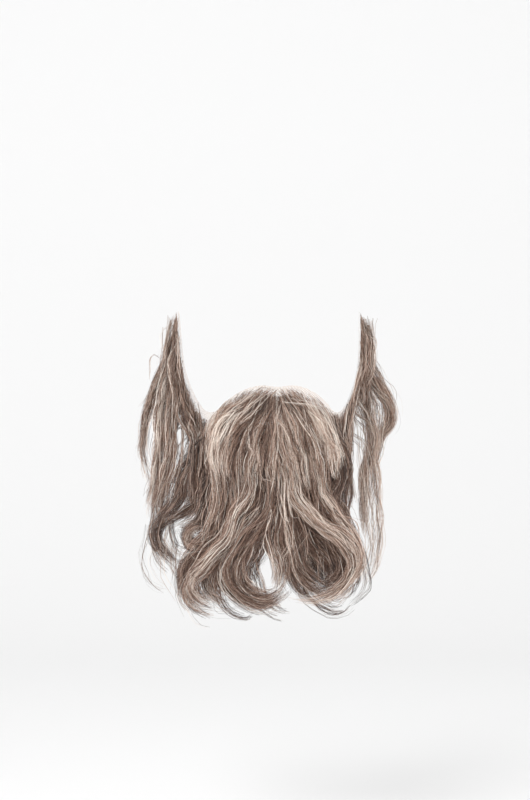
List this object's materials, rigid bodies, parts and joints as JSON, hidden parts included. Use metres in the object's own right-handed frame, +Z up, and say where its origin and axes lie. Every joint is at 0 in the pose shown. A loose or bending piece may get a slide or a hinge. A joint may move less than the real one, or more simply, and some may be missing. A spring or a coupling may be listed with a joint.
{
  "type": "false beard",
  "caption": "Full false beard with moustache and sideburns: long wavy hair tied to a sheer lace base shaped to the face.",
  "frame": {"origin": "the inside of the lace at the foremost point of the chin, where the beard rests on the wearer", "axes": "+Z up along the face, -Y the way the wearer looks, +X towards the wearer's left"},
  "size_m": [0.1966, 0.1108, 0.2267],
  "materials": {
    "lace": "sheer warm beige net",
    "moustache_hair": "satin greyed brown hair with pale strands",
    "chin_hair": "satin greyed brown wavy hair",
    "side_hair": "satin darker greyed brown hair"
  },
  "bodies": {
    "root": {"lace_base": "lace", "moustache_hair": "moustache_hair", "chin_hair": "chin_hair", "left_whisker": "side_hair", "right_whisker": "side_hair"}
  },
  "joints": []
}
